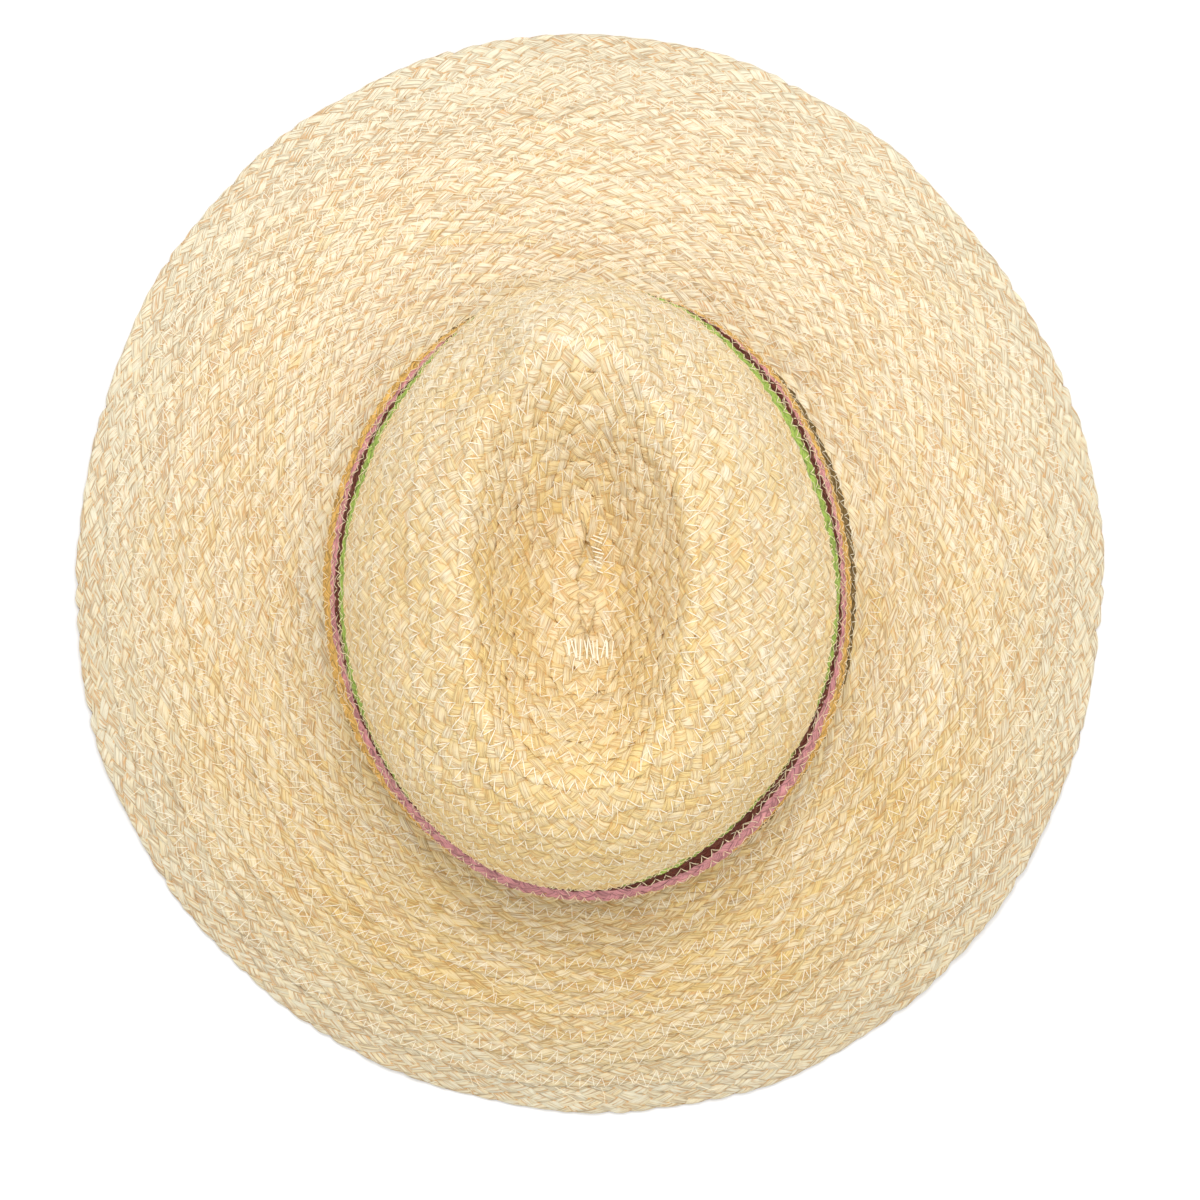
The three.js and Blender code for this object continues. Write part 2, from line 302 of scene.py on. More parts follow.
class StrawColours(bpy.types.PropertyGroup):
    """Colours of the straw and the thread."""

    light: colour("Light straw", "The palest natural ribbons", (0.98, 0.87, 0.64))
    golden: colour("Golden straw", "The yellowest natural ribbons", (0.92, 0.68, 0.28))
    # Painted shade in the creases between two ribbons; the veins and fibre lines use this colour too
    crease_shade_and_veins: colour("Crease", "Straw deep between two ribbons", (0.74, 0.35, 0.08))
    # Painted reflection: the outer turns are paler and greyer for the white surroundings that the
    # down-turned edge catches
    pale: colour("Edge straw", "The bleached straw of the outer turns", (0.83, 0.77, 0.58))
    thread: colour("Thread", "The sewing thread", (0.98, 0.92, 0.77))
    # Painted light: warmer and more golden than the other thread, for the warm light that it catches
    # from the straw round it
    band_thread: colour("Band thread", "The thread over the dyed turns", (1.0, 0.86, 0.58))
    row_green: colour("Green", "The top dyed turn", (0.42, 0.58, 0.11))
    row_maroon: colour("Maroon", "The second dyed turn", (0.15, 0.028, 0.016))
    row_pink: colour("Pink", "The third dyed turn", (0.80, 0.35, 0.36))
    row_mustard: colour("Mustard", "The fourth dyed turn", (0.95, 0.54, 0.15))
    row_olive: colour("Olive", "The lowest dyed turn", (0.24, 0.15, 0.05))


class StageLook(bpy.types.PropertyGroup):
    """The camera, the floor and the lights."""

    distance: number("Distance", "Camera height over the brim", 1.6, unit="LENGTH")
    span: number("Span", "Width of the view at the brim", 0.4, unit="LENGTH")
    floor: colour("Floor", "The floor's colour", (0.92, 0.92, 0.92))
    key: number("Key light", "Strength of the large soft light, in watts", 25.5)
    glint: number("Glint light", "Strength of the small light that dry straw glints in, in watts", 4.0)
    fill: number("Fill light", "Brightness of the surroundings", 0.88)


def unit(vectors):
    """The same directions, each one long."""
    return vectors / np.maximum(np.linalg.norm(vectors, axis=-1, keepdims=True), TINY)


def soft_step(share):
    """A rise from 0 to 1 that is level at both ends."""
    return share**2 * (3 - 2 * share)


def smooth_through(values, place):
    """A curve through evenly spaced values: between two of them it is the cubic that meets both, with
    slopes of half the difference of their neighbours. The ends go on straight."""
    values = np.asarray(values, float)
    held = np.concatenate([[2 * values[0] - values[1]], values, [2 * values[-1] - values[-2]]])
    i = np.clip(np.floor(place).astype(int), 0, len(values) - 2)
    f = place - i
    start = (held[i + 2] - held[i]) / 2
    end = (held[i + 3] - held[i + 1]) / 2
    rise = held[i + 2] - held[i + 1]
    return held[i + 1] + f * (start + f * (3 * rise - 2 * start - end + f * (start + end - 2 * rise)))


def crown_surface(turn, section):
    """The crown: a squarish oval at each section, met by a ray through the ellipse point at this turn,
    less a bell-shaped pinch either side of the front. Its height goes from that of the sides to that
    of the front or back with the squared sine of the turn."""
    column = {name: smooth_through(values, section) for name, values in SECTIONS.items()}
    sin, cos = np.sin(turn), np.cos(turn)
    front = sin < 0
    reach = np.where(front, column["front"], column["back"])
    power = np.where(front, column["square_front"], column["square_back"])
    end = np.where(front, column["height_front"], column["height_back"])
    half = np.maximum(column["half"], LEAST_HALF)
    ray = np.arctan2(reach * sin, half * cos)
    oval = (np.abs(np.cos(ray)) / half) ** power + (np.abs(np.sin(ray)) / reach) ** power
    aside = (np.arctan2(sin, np.abs(cos)) + PINCH_TURN) / PINCH_SPREAD_TURN
    along = (section - PINCH_SECTION) / PINCH_SPREAD_SECTIONS
    radius = oval ** (-1 / power) - PINCH_DEPTH * np.exp(-(aside**2 + along**2) / 2)
    height = column["height_side"] + (end - column["height_side"]) * sin**2
    return np.stack([column["lean"] + radius * np.cos(ray), FOOT_MIDDLE_Y + radius * np.sin(ray),
                     CROWN_FOOT + height], -1)


def outline(turn):
    """The brim's edge: a mean radius and six waves round it."""
    waves = sum(c * np.cos(n * turn) + s * np.sin(n * turn) for n, c, s in BRIM_WAVES)
    return np.stack([(BRIM_RADIUS + waves) * np.cos(turn), (BRIM_RADIUS + waves) * np.sin(turn)], -1)


def brim_middle():
    """The middle of the box round the brim's edge, which is the origin."""
    points = outline(np.arange(BRIM_FACETS) * TAU / BRIM_FACETS)
    return (points.min(0) + points.max(0)) / 2


BRIM_MIDDLE = brim_middle()


def brim_surface(turn, place):
    """The brim: a straight line from the crown's foot to the outline, at the height of its profile,
    with the edge's slow waves coming in over the outer part."""
    foot = crown_surface(turn, np.zeros_like(turn))
    edge = outline(turn) - BRIM_MIDDLE
    share = smooth_through(BRIM_SHARE, place)
    inside = place < 0
    share = np.where(inside, 0, share)
    waves = sum(size * np.sin(n * turn + start) for n, size, start in LIFT_WAVES)
    ease = np.clip((share - LIFT_START) / (1 - LIFT_START), 0, 1)
    height = smooth_through(BRIM_HEIGHT, place) + np.maximum(waves, 0) * soft_step(ease)
    height = np.where(inside, CROWN_FOOT, height)
    across = foot[..., :2] + (edge - foot[..., :2]) * share[..., None]
    return np.concatenate([across, height[..., None]], -1)


def evenly(points, count):
    """The same lines, cut into even lengths: the distance along each line is read backwards."""
    steps = np.linalg.norm(np.diff(points, axis=1), axis=-1)
    run = np.concatenate([np.zeros((len(points), 1)), np.cumsum(steps, 1)], 1)
    lines = 2.0 * np.arange(len(points))[:, None]
    known = (run / run[:, -1:] + lines).ravel()
    wanted = (np.linspace(0, 1, count + 1)[None] + lines).ravel()
    columns = [np.interp(wanted, known, points[..., c].ravel()) for c in range(3)]
    return np.stack(columns, -1).reshape(len(points), count + 1, 3)


def dyed_lean(points):
    """How far the dyed wall is pushed out or in, level and away from the crown's middle, so that its
    seams look the listed widths apart from above, where higher ones look larger. The push runs
    straight from seam to seam, and fades out over a few natural turns above."""
    away = points[..., :2] - (0, FOOT_MIDDLE_Y)
    reach = np.linalg.norm(away, axis=-1)
    seams = np.arange(DYED_ROW, BRIM_ROW + 1)
    turns = np.arange(TURN_STEPS) * TAU / TURN_STEPS
    widths = np.stack([np.interp(turns, BAND_TURNS, BAND_WIDTHS[name], period=TAU)
                       for name in DYED_NAMES], 1)
    inward = np.concatenate([np.cumsum(widths[:, ::-1], 1)[:, ::-1], np.zeros((len(turns), 1))], 1)
    nearer = VIEW_HEIGHT / (VIEW_HEIGHT - points[:, seams * ROW_STEPS, 2])
    looks = (reach[:, seams * ROW_STEPS] * nearer)[:, -1:] - inward
    push = looks / nearer - reach[:, seams * ROW_STEPS]
    rows = np.arange(points.shape[1]) / ROW_STEPS
    places = [DYED_ROW - BAND_EASE, *seams, BRIM_ROW + BAND_END]
    share = [np.interp(rows, places, knot) for knot in np.eye(len(places))[1:-1]]
    return unit(away) * (push @ np.array(share))[..., None]


def dent_lip(points):
    """The height of the lip: nothing inside its ellipse, a quick smooth rise across the ellipse's
    edge, and a slow fade outwards, eased at both ends of the arc."""
    x, y = ((points[..., k] - LIP_MIDDLE[k]) / LIP_HALF[k] for k in range(2))
    outside = (np.hypot(x, y) - 1) * LIP_HALF[0]
    rise = np.clip(outside / LIP_RISE + 0.5, 0, 1)
    along = (np.arctan2(y, x) % TAU - LIP_FROM) / (LIP_TO - LIP_FROM)
    ends = np.clip(LIP_EASE * along, 0, 1) * np.clip(LIP_EASE * (1 - along), 0, 1)
    return LIP_HEIGHT * soft_step(rise) * np.exp(-np.maximum(outside, 0) / LIP_FADE) * ends


def front_folds(points):
    """Two soft folds from front to back, each a bell-shaped valley with a lower bell-shaped crest on
    its inner side, eased in and out along its length."""
    aside = np.abs(points[..., 0] - FOLD_MIDDLE)
    along = (points[..., 1] - FOLD_FRONT) / (FOLD_BACK - FOLD_FRONT)
    ease = np.sin(np.pi * np.clip(along, 0, 1)) ** 2
    valley = FOLD_DEPTH * np.exp(-(((aside - FOLD_ASIDE) / FOLD_HALF) ** 2) / 2)
    crest = CREST_HEIGHT * np.exp(-(((aside - CREST_ASIDE) / CREST_HALF) ** 2) / 2)
    return (crest - valley) * ease


def wall_table():
    """Points and normals of the whole wall on a grid of turns and rows, row 0 at the middle of the
    tip. The normal is the row direction crossed with the turn direction, turned upright over the
    first row."""
    turn = (np.arange(TURN_STEPS) * TAU / TURN_STEPS)[:, None]
    fine = np.linspace(0, 1, FINE_STEPS["crown"])[None]
    across = lambda first, last: np.broadcast_arrays(turn, first + (last - first) * fine)
    tip = evenly(crown_surface(*across(TIP_START, RIDGE)), TIP_ROWS * ROW_STEPS)
    side = evenly(crown_surface(*across(RIDGE, DYED_TOP)), SIDE_ROWS * ROW_STEPS)
    dyed = evenly(crown_surface(*across(DYED_TOP, DYED_FOOT)), DYED_ROWS * ROW_STEPS)
    places = np.concatenate([[-1], np.linspace(0, len(BRIM_SHARE) - 1, FINE_STEPS["brim"])])[None]
    brim = evenly(brim_surface(*np.broadcast_arrays(turn, places)), BRIM_ROWS * ROW_STEPS)
    points = np.concatenate([tip[:, :-1], side[:, :-1], dyed[:, :-1], brim], 1)
    points[..., :2] += dyed_lean(points)
    on_crown = np.arange(points.shape[1]) < DYED_ROW * ROW_STEPS
    points[..., 2] += (dent_lip(points) + front_folds(points)) * on_crown
    inside = np.clip(1 - np.arange(points.shape[1]) / ROW_STEPS, 0, 1) ** CORE_EASE
    points[..., 2] += CORE_FILL * inside * (points[:, ROW_STEPS, 2][:, None] - points[..., 2])
    round_hat = np.roll(points, -1, 0) - np.roll(points, 1, 0)
    normals = unit(np.cross(np.gradient(points, axis=1), round_hat))
    return points, unit(normals * (1 - inside[:, None]) + inside[:, None] * (0, 0, 1))


POINTS, NORMALS = wall_table()


def on_wall(turn, row, height=0.0):
    """Points on the wall at a turn and a row, raised along its normal, read between grid points."""
    x = (turn / TAU * TURN_STEPS) % TURN_STEPS
    i = np.floor(x).astype(int)
    j = np.clip(np.floor(row * ROW_STEPS).astype(int), 0, POINTS.shape[1] - 2)
    f, g = (x - i)[..., None], (row * ROW_STEPS - j)[..., None]
    i, i2 = i % TURN_STEPS, (i + 1) % TURN_STEPS
    g_in = np.clip(g, 0, 1)
    read = lambda t, h: (t[i, j] * (1 - f) + t[i2, j] * f) * (1 - h) + (
        t[i, j + 1] * (1 - f) + t[i2, j + 1] * f) * h
    return read(POINTS, g) + unit(read(NORMALS, g_in)) * np.asarray(height)[..., None]


def turn_at(share, row):
    """The turn at an even share of the way round a row, measured along the row."""
    turns = np.linspace(0, TAU, TURN_STEPS + 1)
    ring = on_wall(turns, np.full_like(turns, row))
    run = np.concatenate([[0], np.cumsum(np.linalg.norm(np.diff(ring, axis=0), axis=-1))])
    whole = np.floor(share)
    return np.interp(share - whole, run / run[-1], turns) + TAU * whole


def row_length(row):
    """The length once round a row."""
    turns = np.linspace(0, TAU, TURN_STEPS + 1)
    ring = on_wall(turns, np.full_like(turns, row))
    return np.linalg.norm(np.diff(ring, axis=0), axis=-1).sum()


def wander(turn, seam):
    """How far a seam strays from its even place, in rows: four waves round the hat, with counts and
    starts of their own for each seam."""
    stray = np.zeros_like(turn)
    for n in range(WANDER_WAVES):
        count = np.floor(3 + 5 * n + 3 * np.sin(seam * 2.3 + n))
        stray = stray + WANDER * np.sin(count * turn + seam * (1.7 + n) + 2.1 * n)
    return stray


def tipped(turn, row):
    """How strongly a turn is tipped, as a share: gently on the tip and less gently on the side, more
    and less by two waves round the hat."""
    waves = sum(size * np.sin(count * turn + shift * row) for size, count, shift in TIPPED_WAVES)
    return np.interp(row, TIPPED["row"], TIPPED["share"]) * (1 + waves)


def billow(turn, row):
    """How far the wall lies above or below its even place: slow waves over turns and rows, calmer on
    the dyed turns."""
    calm = np.interp(row, [DYED_ROW - 1, DYED_ROW, BRIM_ROW, BRIM_ROW + 1], [1, CALM, CALM, 1])
    return calm * sum(size * np.sin(count * turn + shift * row + start)
                      for size, count, shift, start in BILLOWS)


def lattice(rows, count, cuts):
    """Vertex numbers of the diamonds of one plait, as an array of diamond row, diamond, and two steps
    across its face. Neighbouring diamonds share their corners and edges: the corners are numbered
    first, then the insides of the rising edges, of the falling edges, and of the faces."""
    inner = cuts - 1
    shapes = [(rows + 2, count), (rows + 1, count, inner),
              (rows + 1, count, inner), (rows, count, inner, inner)]
    starts = np.cumsum([0] + [int(np.prod(shape)) for shape in shapes])
    corner, rising, falling, inside = (
        start + np.arange(np.prod(shape)).reshape(shape) for start, shape in zip(starts, shapes))
    j, i = np.arange(rows)[:, None], np.arange(count)[None]
    left, right = (i - 1 + j % 2) % count, (i + j % 2) % count
    grid = np.empty((rows, count, cuts + 1, cuts + 1), int)
    grid[:, :, 0, 0] = corner[j, i]
    grid[:, :, cuts, 0] = corner[j + 1, right]
    grid[:, :, 0, cuts] = corner[j + 1, left]
    grid[:, :, cuts, cuts] = corner[j + 2, i]
    grid[:, :, 1:cuts, 0] = rising[j, i]
    grid[:, :, 1:cuts, cuts] = rising[j + 1, left]
    grid[:, :, 0, 1:cuts] = falling[j, i]
    grid[:, :, cuts, 1:cuts] = falling[j + 1, right]
    grid[:, :, 1:cuts, 1:cuts] = inside
    return grid, int(starts[-1])


def corners_of(grid, outward):
    """Vertex numbers, or the values there, at the four corners of every face of every diamond, wound
    to face outwards or inwards."""
    a, b = grid[:, :, :-1, :-1], grid[:, :, 1:, :-1]
    c, d = grid[:, :, 1:, 1:], grid[:, :, :-1, 1:]
    return np.stack([a, d, c, b] if outward else [a, b, c, d], 4)


def rim_triangles(grid):
    """The slivers between the fine outer face and the coarse under face along both rims: each runs
    over a corner, the cut beside it and the next one."""
    out = []
    for low, mid, high in ((0, 1, 2), (4, 3, 2)):
        flip = low > high
        for edge, turned in ((grid[0, :, :, 0], False), (grid[0, :, 0, :], True),
                             (grid[-1, :, :, -1], True), (grid[-1, :, -1, :], False)):
            order = (low, high, mid) if turned != flip else (low, mid, high)
            out.append(edge[:, order])
    return np.concatenate(out)


class Plait:
    """One turn of plait as arrays: its vertices, faces, strand coordinates and tones."""

    def __init__(self, row, cell, diamonds, sizes, seed):
        self.row, self.diamonds, self.sizes = row, diamonds, sizes
        self.rng = np.random.default_rng(seed)
        self.length = row_length(row + 0.5)
        self.count = max(LEAST_CELLS, int(round(self.length / cell)))
        self.pitch = self.row_width()
        self.step = (0.5 + sizes.lap / 2) / (self.diamonds / 2 - 0.5 + POINTS_LEFT)
        self.build()

    def row_width(self):
        """The mean width of this row, read a little inside its seams."""
        turns = np.arange(WIDTH_TURNS) * TAU / WIDTH_TURNS
        inner, outer = (on_wall(turns, np.full_like(turns, self.row + share)) for share in WIDTH_READ)
        return np.linalg.norm(outer - inner, axis=-1).mean() / (WIDTH_READ[1] - WIDTH_READ[0])

    def corners(self):
        """Share of the way round, place across and height of every lattice corner, each nudged a
        little, so that no two cells are quite alike."""
        levels = np.arange(self.diamonds + 2)[:, None]
        shape = (self.diamonds + 2, self.count)
        nudge = lambda size: self.rng.normal(0, size, shape).clip(-2 * size, 2 * size)
        steps = np.arange(self.count)[None] + (levels % 2) / 2
        steps = steps + nudge(STRAY_ALONG) + self.rng.uniform()
        last = STRAY_AT_BRIM_EDGE if self.row == EDGE_ROW - 1 else STRAY_AT_EDGE
        steady = np.where(levels < 2, STRAY_AT_EDGE, np.where(levels > self.diamonds - 1, last, 1.0))
        place = levels - (self.diamonds + 1) / 2 + nudge(STRAY_ACROSS) * steady
        return steps / self.count, place, nudge(STRAY_UP)

    def spread(self, values, grid, wrap=0.0):
        """Corner values carried over each diamond's face: straight along both of its directions."""
        j, i = np.arange(self.diamonds)[:, None], np.arange(self.count)[None]
        left, right = i - 1 + j % 2, i + j % 2
        turned = lambda level, k: values[level, k % self.count] + wrap * np.floor(k / self.count)
        down, up = turned(j, i), turned(j + 2, i)
        left, right = turned(j + 1, left), turned(j + 1, right)
        cell = lambda v: np.broadcast_to(v, (self.diamonds, self.count))[:, :, None, None]
        down, up, left, right = cell(down), cell(up), cell(left), cell(right)
        a, b = grid[:, None], grid[None, :]
        return (down * (1 - a) * (1 - b) + right * a * (1 - b) + left * (1 - a) * b + up * a * b)

    def swell_of(self, cuts, first_on_top):
        """A ribbon's swell: an arch along the ribbon, which dives under its neighbours at both ends,
        times one of a few folded sections across it. Rising and falling ribbons take turns on top."""
        fold = self.rng.integers(0, len(FOLDS), (self.diamonds, self.count))
        along, across = ALONG_SWELL[cuts], FOLDS[:, cuts][fold]
        rising = along[:, None] * across[:, :, None, :]
        falling = across[:, :, :, None] * along[None, :]
        on_top = (np.arange(self.diamonds) % 2 == first_on_top)[:, None, None, None]
        return np.where(on_top, rising, falling)

    def place_on_wall(self, share, place, lift):
        """Lays the plait on the wall. The outer diamonds' points are pressed in and rolled down to make
        a firm edge, and the whole width is tipped so that it laps like a shingle."""
        sizes = self.sizes
        edge = self.diamonds / 2 - 0.5
        over = np.maximum(np.abs(place) - edge, 0)
        pressed = np.sign(place) * (np.minimum(np.abs(place), edge) + POINTS_LEFT * over)
        across = pressed * self.step + sizes.tuck
        if self.row == 0:
            across = across - CORE_LAP * np.clip(-2 * across, 0, 1)
        turn = turn_at(share, self.row + 0.5)
        blend = np.clip(across + 0.5, 0, 1)
        across = across + wander(turn, self.row) * (1 - blend) + wander(turn, self.row + 1) * blend
        row = self.row + 0.5 + across
        rolled = POINTS_ROLL * over**2
        tip = sizes.shingle * tipped(turn, self.row) * across
        height = lift - rolled + tip - sizes.thickness + billow(turn, row)
        return on_wall(turn, row, height)

    def strand(self, grid, first_on_top):
        """Strand coordinates in millimetres at the corners of each face: along the ribbon on top, and
        across it, starting somewhere else on every ribbon."""
        run = np.hypot(self.length / self.count / 2, self.step * self.pitch)
        a, b = np.meshgrid(grid * run, grid * run, indexing="ij")
        j, i = np.arange(self.diamonds)[:, None], np.arange(self.count)[None]
        top = np.broadcast_to(j % 2 == first_on_top, (self.diamonds, self.count))
        ribbon = np.where(top, (i - j // 2) % self.count, (i + (j + 1) // 2) % self.count + self.count)
        start = self.rng.uniform(0, STRAND_APART, 2 * self.count)[ribbon][:, :, None, None]
        u = np.where(top[:, :, None, None], a, b) + start
        v = np.where(top[:, :, None, None], b, a) + start * STRAND_SKEW
        return np.stack([u, v], -1), ribbon

    def build(self):
        """Lays out the outer face, finely cut, and the under face, coarsely cut, and joins them."""
        sizes, cuts = self.sizes, len(CUTS) - 1
        share, place, lift = self.corners()
        grid, used = lattice(self.diamonds, self.count, cuts)
        swell = self.swell_of(np.arange(len(CUTS)), 0)
        loose = self.rng.normal(0, STRAY_TOP, swell.shape) * (swell > 0.5)
        top = self.place_on_wall(
            self.spread(share, CUTS, 1.0), self.spread(place, CUTS),
            self.spread(lift, CUTS) + (swell + loose) * sizes.ribbon_rise)
        low = CUTS[UNDER_CUTS]
        under_grid, under_used = lattice(self.diamonds, self.count, len(low) - 1)
        deep = self.swell_of(UNDER_CUTS, 1)
        under = self.place_on_wall(
            self.spread(share, low, 1.0), self.spread(place, low),
            self.spread(lift, low) - sizes.thickness - deep * sizes.ribbon_rise * UNDER_SWELL)
        self.points = np.empty((used + under_used, 3))
        self.points[used + under_grid] = under
        self.points[grid] = top
        under_grid = self.join_rims(grid, under_grid + used)
        # The rise: how high each point stands on its ribbon; the material paints shade where it is low
        self.rise = np.zeros(used + under_used)
        open_edge = np.maximum(OPEN_EDGE[:, None], OPEN_EDGE[None, :])
        self.rise[under_grid] = (deep + open_edge[UNDER_CUTS][:, UNDER_CUTS]) / 2
        self.rise[grid] = (swell + open_edge) / 2
        self.faces(grid, under_grid)

    def join_rims(self, grid, under_grid):
        """Gives the under face the outer face's own vertices along both rims."""
        same = np.arange(len(self.points))
        picked = grid[:, :, UNDER_CUTS][:, :, :, UNDER_CUTS]
        for side in ((0, slice(None), slice(None), 0), (0, slice(None), 0, slice(None)),
                     (-1, slice(None), slice(None), -1), (-1, slice(None), -1, slice(None))):
            same[under_grid[side]] = picked[side]
        return same[under_grid]

    def faces(self, grid, under_grid):
        """Lists the faces with their strand coordinates, and a tone for each ribbon that differs a
        little from cell to cell."""
        tone = self.rng.beta(*TONES, 2 * self.count)
        strand, ribbon = self.strand(CUTS, 0)
        under_strand, under_ribbon = self.strand(CUTS[UNDER_CUTS], 1)
        cell = self.rng.normal(0, TONE_STRAY, ribbon.shape)
        self.quads = np.concatenate([
            corners_of(grid, True).reshape(-1, 4), corners_of(under_grid, False).reshape(-1, 4)])
        self.triangles = rim_triangles(grid)
        self.uv = np.concatenate([
            corners_of(strand, True).reshape(-1, 2), corners_of(under_strand, False).reshape(-1, 2),
            np.zeros((3 * len(self.triangles), 2))])
        tones = [np.repeat((tone[r] + cell).ravel(), n * n)
                 for r, n in ((ribbon, len(CUTS) - 1), (under_ribbon, len(UNDER_CUTS) - 1))]
        self.tone = np.concatenate([*tones, np.full(len(self.triangles), RIM_TONE)]).clip(0, 1)


def joined(parts, counts):
    """The faces of several parts, each part's numbered on from the ones before it."""
    return np.concatenate([faces + start for faces, start in zip(parts, np.cumsum([0, *counts]))])


def mesh_of(name, points, quads, triangles, smooth=True):
    """A mesh from arrays of points in millimetres and of faces."""
    mesh = bpy.data.meshes.new(name)
    mesh.vertices.add(len(points))
    mesh.vertices.foreach_set("co", (points * MM).astype(np.float32).ravel())
    corners = np.concatenate([quads.ravel(), triangles.ravel()]).astype(np.int32)
    mesh.loops.add(len(corners))
    mesh.loops.foreach_set("vertex_index", corners)
    starts = np.concatenate([np.arange(len(quads)) * 4,
                             len(quads) * 4 + np.arange(len(triangles)) * 3]).astype(np.int32)
    mesh.polygons.add(len(starts))
    mesh.polygons.foreach_set("loop_start", starts)
    mesh.update(calc_edges=True)
    mesh.polygons.foreach_set("use_smooth", np.full(len(starts), smooth))
    mesh.validate()
    return mesh


def add_attribute(mesh, name, domain, values):
    """Puts one value for each point or face into the mesh, for its material."""
    layer = mesh.attributes.new(name, "FLOAT", domain)
    layer.data.foreach_set("value", values.astype(np.float32))


def add_piece(name, mesh, material, nodes):
    """Links a piece at the origin, and makes it ride on the hat in place of its solids."""
    piece = bpy.data.objects.new(name, mesh)
    bpy.context.scene.collection.objects.link(piece)
    mesh.materials.append(material)
    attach(piece, "root")
    if nodes:
        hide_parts(*nodes)
    return piece


def add_plaits(name, rows, cell, diamonds, material, nodes, pale=None):
    """One piece made of several turns of plait."""
    sizes = bpy.context.scene.plait_sizes
    plaits = [Plait(row, cell, diamonds, sizes, PLAIT_SEED + row) for row in rows]
    counts = [len(p.points) for p in plaits]
    quads = joined([p.quads for p in plaits], counts)
    triangles = joined([p.triangles for p in plaits], counts)
    points = np.concatenate([p.points for p in plaits])
    points[:, 2] = np.maximum(points[:, 2], CLEAR_OF_FLOOR)
    used, numbers = np.unique(np.concatenate([quads.ravel(), triangles.ravel()]), return_inverse=True)
    split = quads.size
    mesh = mesh_of(name, points[used], numbers[:split].reshape(-1, 4), numbers[split:].reshape(-1, 3))
    quad_ends = [len(p.quads) for p in plaits]
    both = lambda key, n: np.concatenate(
        [getattr(p, key)[:n * e] for p, e in zip(plaits, quad_ends)]
        + [getattr(p, key)[n * e:] for p, e in zip(plaits, quad_ends)])
    uv = mesh.uv_layers.new(name="strand")
    uv.data.foreach_set("uv", both("uv", 4).astype(np.float32).ravel())
    add_attribute(mesh, "tone", "FACE", both("tone", 1))
    add_attribute(mesh, "rise", "POINT", np.concatenate([p.rise for p in plaits])[used])
    if pale is not None:
        each = [np.full(count, pale(p.row)) for count, p in zip(counts, plaits)]
        add_attribute(mesh, "pale", "POINT", np.concatenate(each)[used])
    return add_piece(name, mesh, material, nodes)


def rings(path, ahead, normals, radius):
    """Three points round each point of a thread, square to it, with one flat side outwards."""
    side = unit(np.cross(normals, ahead))
    up = unit(np.cross(ahead, side))
    return path[..., None, :] + radius * (
        np.cos(RING) * side[..., None, :] + np.sin(RING) * up[..., None, :])


def tube(path, normals, radius):
    """A thread along a closed path, as rings of three points joined to one another all round."""
    ring = rings(path, np.roll(path, -1, 0) - np.roll(path, 1, 0), normals, radius)
    numbers = np.arange(3 * len(path)).reshape(-1, 3)
    turned, ahead = np.roll(numbers, -1, 1), np.roll(numbers, -1, 0)
    quads = np.stack([numbers, turned, np.roll(turned, -1, 0), ahead], -1)
    return ring.reshape(-1, 3), quads.reshape(-1, 4)


def zigzag(seam, step, slant, sizes, plait, seed):
    """A zigzag over one seam: its tips stand off the seam by the reach, and it follows the upper turn's
    edge, the step down from it, and the lower turn, sinking into the straw at each tip."""
    rng = np.random.default_rng(seed)
    count = int(round(row_length(seam) / step))
    inner = np.arange(count) + rng.normal(0, TIP_STRAY, count)
    outer = np.arange(count) + slant + rng.normal(0, TIP_STRAY, count)
    reach = sizes.reach * (1 + rng.normal(0, REACH_STRAY, (2, count)))
    sink = np.repeat(rng.uniform(*SINK, 2 * count), len(SEW_CUTS))
    nearer, farther = -reach[0][:, None] - SEW_INSET, reach[1][:, None]
    back = np.roll(nearer, -1, 0)
    next_inner = np.roll(inner, -1)[:, None] + np.where(np.arange(count) == count - 1, count, 0)[:, None]
    out_share = inner[:, None] + (outer - inner)[:, None] * SEW_CUTS
    in_share = outer[:, None] + (next_inner - outer[:, None]) * SEW_CUTS
    across = np.concatenate([nearer + (farther - nearer) * SEW_CUTS,
                             farther + (back - farther) * SEW_CUTS], 1).ravel()
    share = np.concatenate([out_share, in_share], 1).ravel() / count
    turn = turn_at(share, seam)
    level = plait.ribbon_rise - plait.thickness
    heights = np.interp(across, SEW_HEIGHT["across"], SEW_HEIGHT["height"]) + level + sink
    tilt = plait.shingle * tipped(turn, seam) * np.where(across < LAP_EDGE, across + 0.5, across - 0.5)
    row = seam + across + wander(turn, seam)
    height = heights + tilt + billow(turn, row)
    path = on_wall(turn, row, height)
    normals = on_wall(turn, row, height + 1) - path
    return tube(path, normals, sizes.thread if seam < BRIM_ROW else sizes.brim_thread)


def short_threads(paths, normals, radius):
    """Many short threads at once, as arrays of thread, point and coordinate: rings of three points
    joined along each thread, with both ends closed flat."""
    ring = rings(paths, np.gradient(paths, axis=1), normals, radius)
    threads, length = paths.shape[:2]
    numbers = np.arange(threads * length * 3).reshape(threads, length, 3)
    turned = np.roll(numbers, -1, 2)
    quads = np.stack([numbers[:, :-1], turned[:, :-1], turned[:, 1:], numbers[:, 1:]], -1)
    ends = np.concatenate([numbers[:, 0, ::-1], numbers[:, -1]])
    return ring.reshape(-1, 3), quads.reshape(-1, 4), ends


